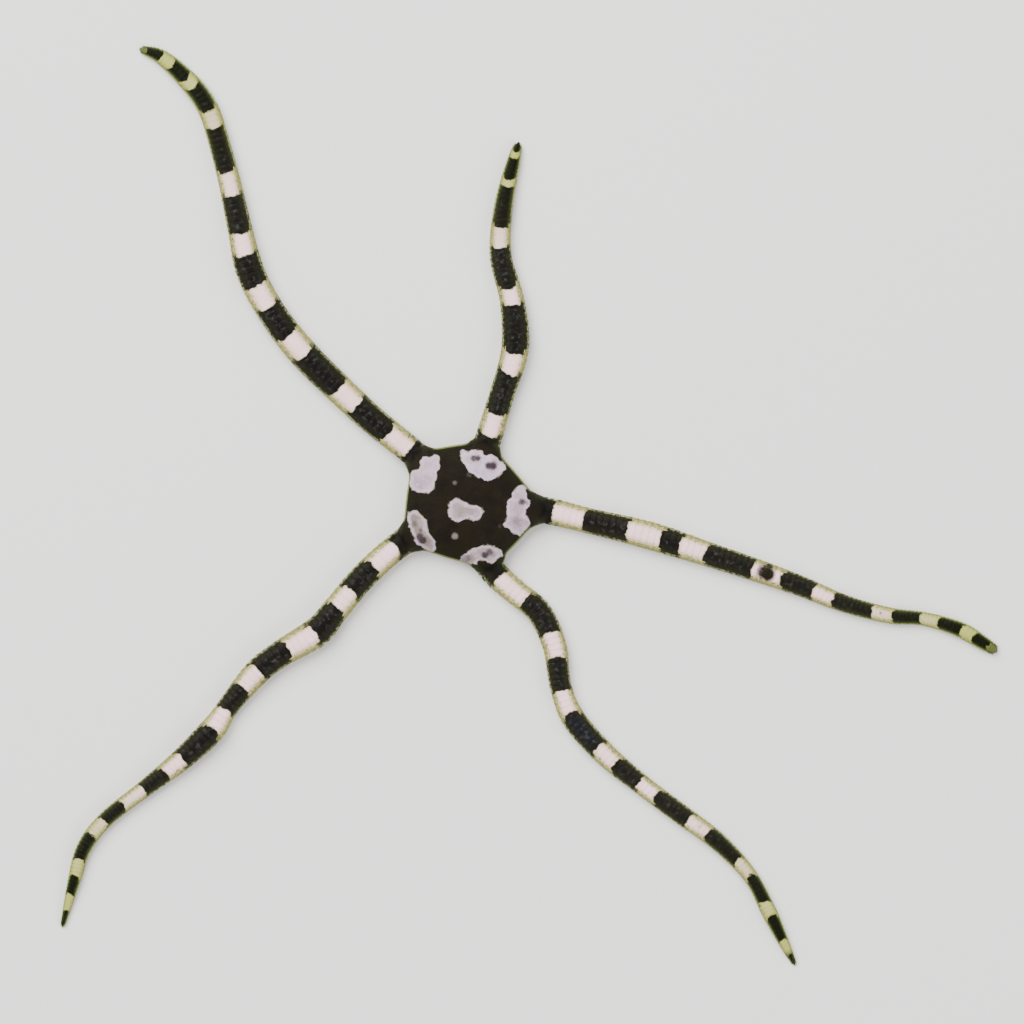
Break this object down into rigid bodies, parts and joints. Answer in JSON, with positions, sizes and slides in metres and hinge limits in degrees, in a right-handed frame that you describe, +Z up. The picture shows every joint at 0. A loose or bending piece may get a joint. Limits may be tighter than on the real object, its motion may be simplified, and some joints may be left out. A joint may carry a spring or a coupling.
{
  "type": "brittle star",
  "caption": "Banded serpent star, a smooth-armed brittle star, lying flat with its arms spread in loose curves.",
  "frame": {"origin": "on the floor under the middle of the whole animal's box", "axes": "+Z up from the belly to the back; +X along the arm that lies stretched to one side; +Y along the short arm"},
  "size_m": [0.1878, 0.1843, 0.0062],
  "materials": {
    "disc_skin": "satin, finely granular skin, near-black brown with lilac-white patches and olive edges",
    "arm_skin": "satin, small plates, banded pinkish white and near-black with yellow-green flanks",
    "jaw_plate": "matt, chalky, pale buff"
  },
  "bodies": {
    "root": {"disc": "disc_skin", "jaw_1": "jaw_plate", "jaw_2": "jaw_plate", "jaw_3": "jaw_plate", "jaw_4": "jaw_plate", "jaw_5": "jaw_plate", "arm_1_base": "arm_skin", "arm_1_inner": "arm_skin", "arm_1_outer": "arm_skin", "arm_1_tip": "arm_skin", "arm_2_base": "arm_skin", "arm_2_inner": "arm_skin", "arm_2_outer": "arm_skin", "arm_2_tip": "arm_skin", "arm_3_base": "arm_skin", "arm_3_inner": "arm_skin", "arm_3_outer": "arm_skin", "arm_3_tip": "arm_skin", "arm_4_base": "arm_skin", "arm_4_inner": "arm_skin", "arm_4_outer": "arm_skin", "arm_4_tip": "arm_skin", "arm_5_base": "arm_skin", "arm_5_inner": "arm_skin", "arm_5_outer": "arm_skin", "arm_5_tip": "arm_skin"}
  },
  "joints": []
}
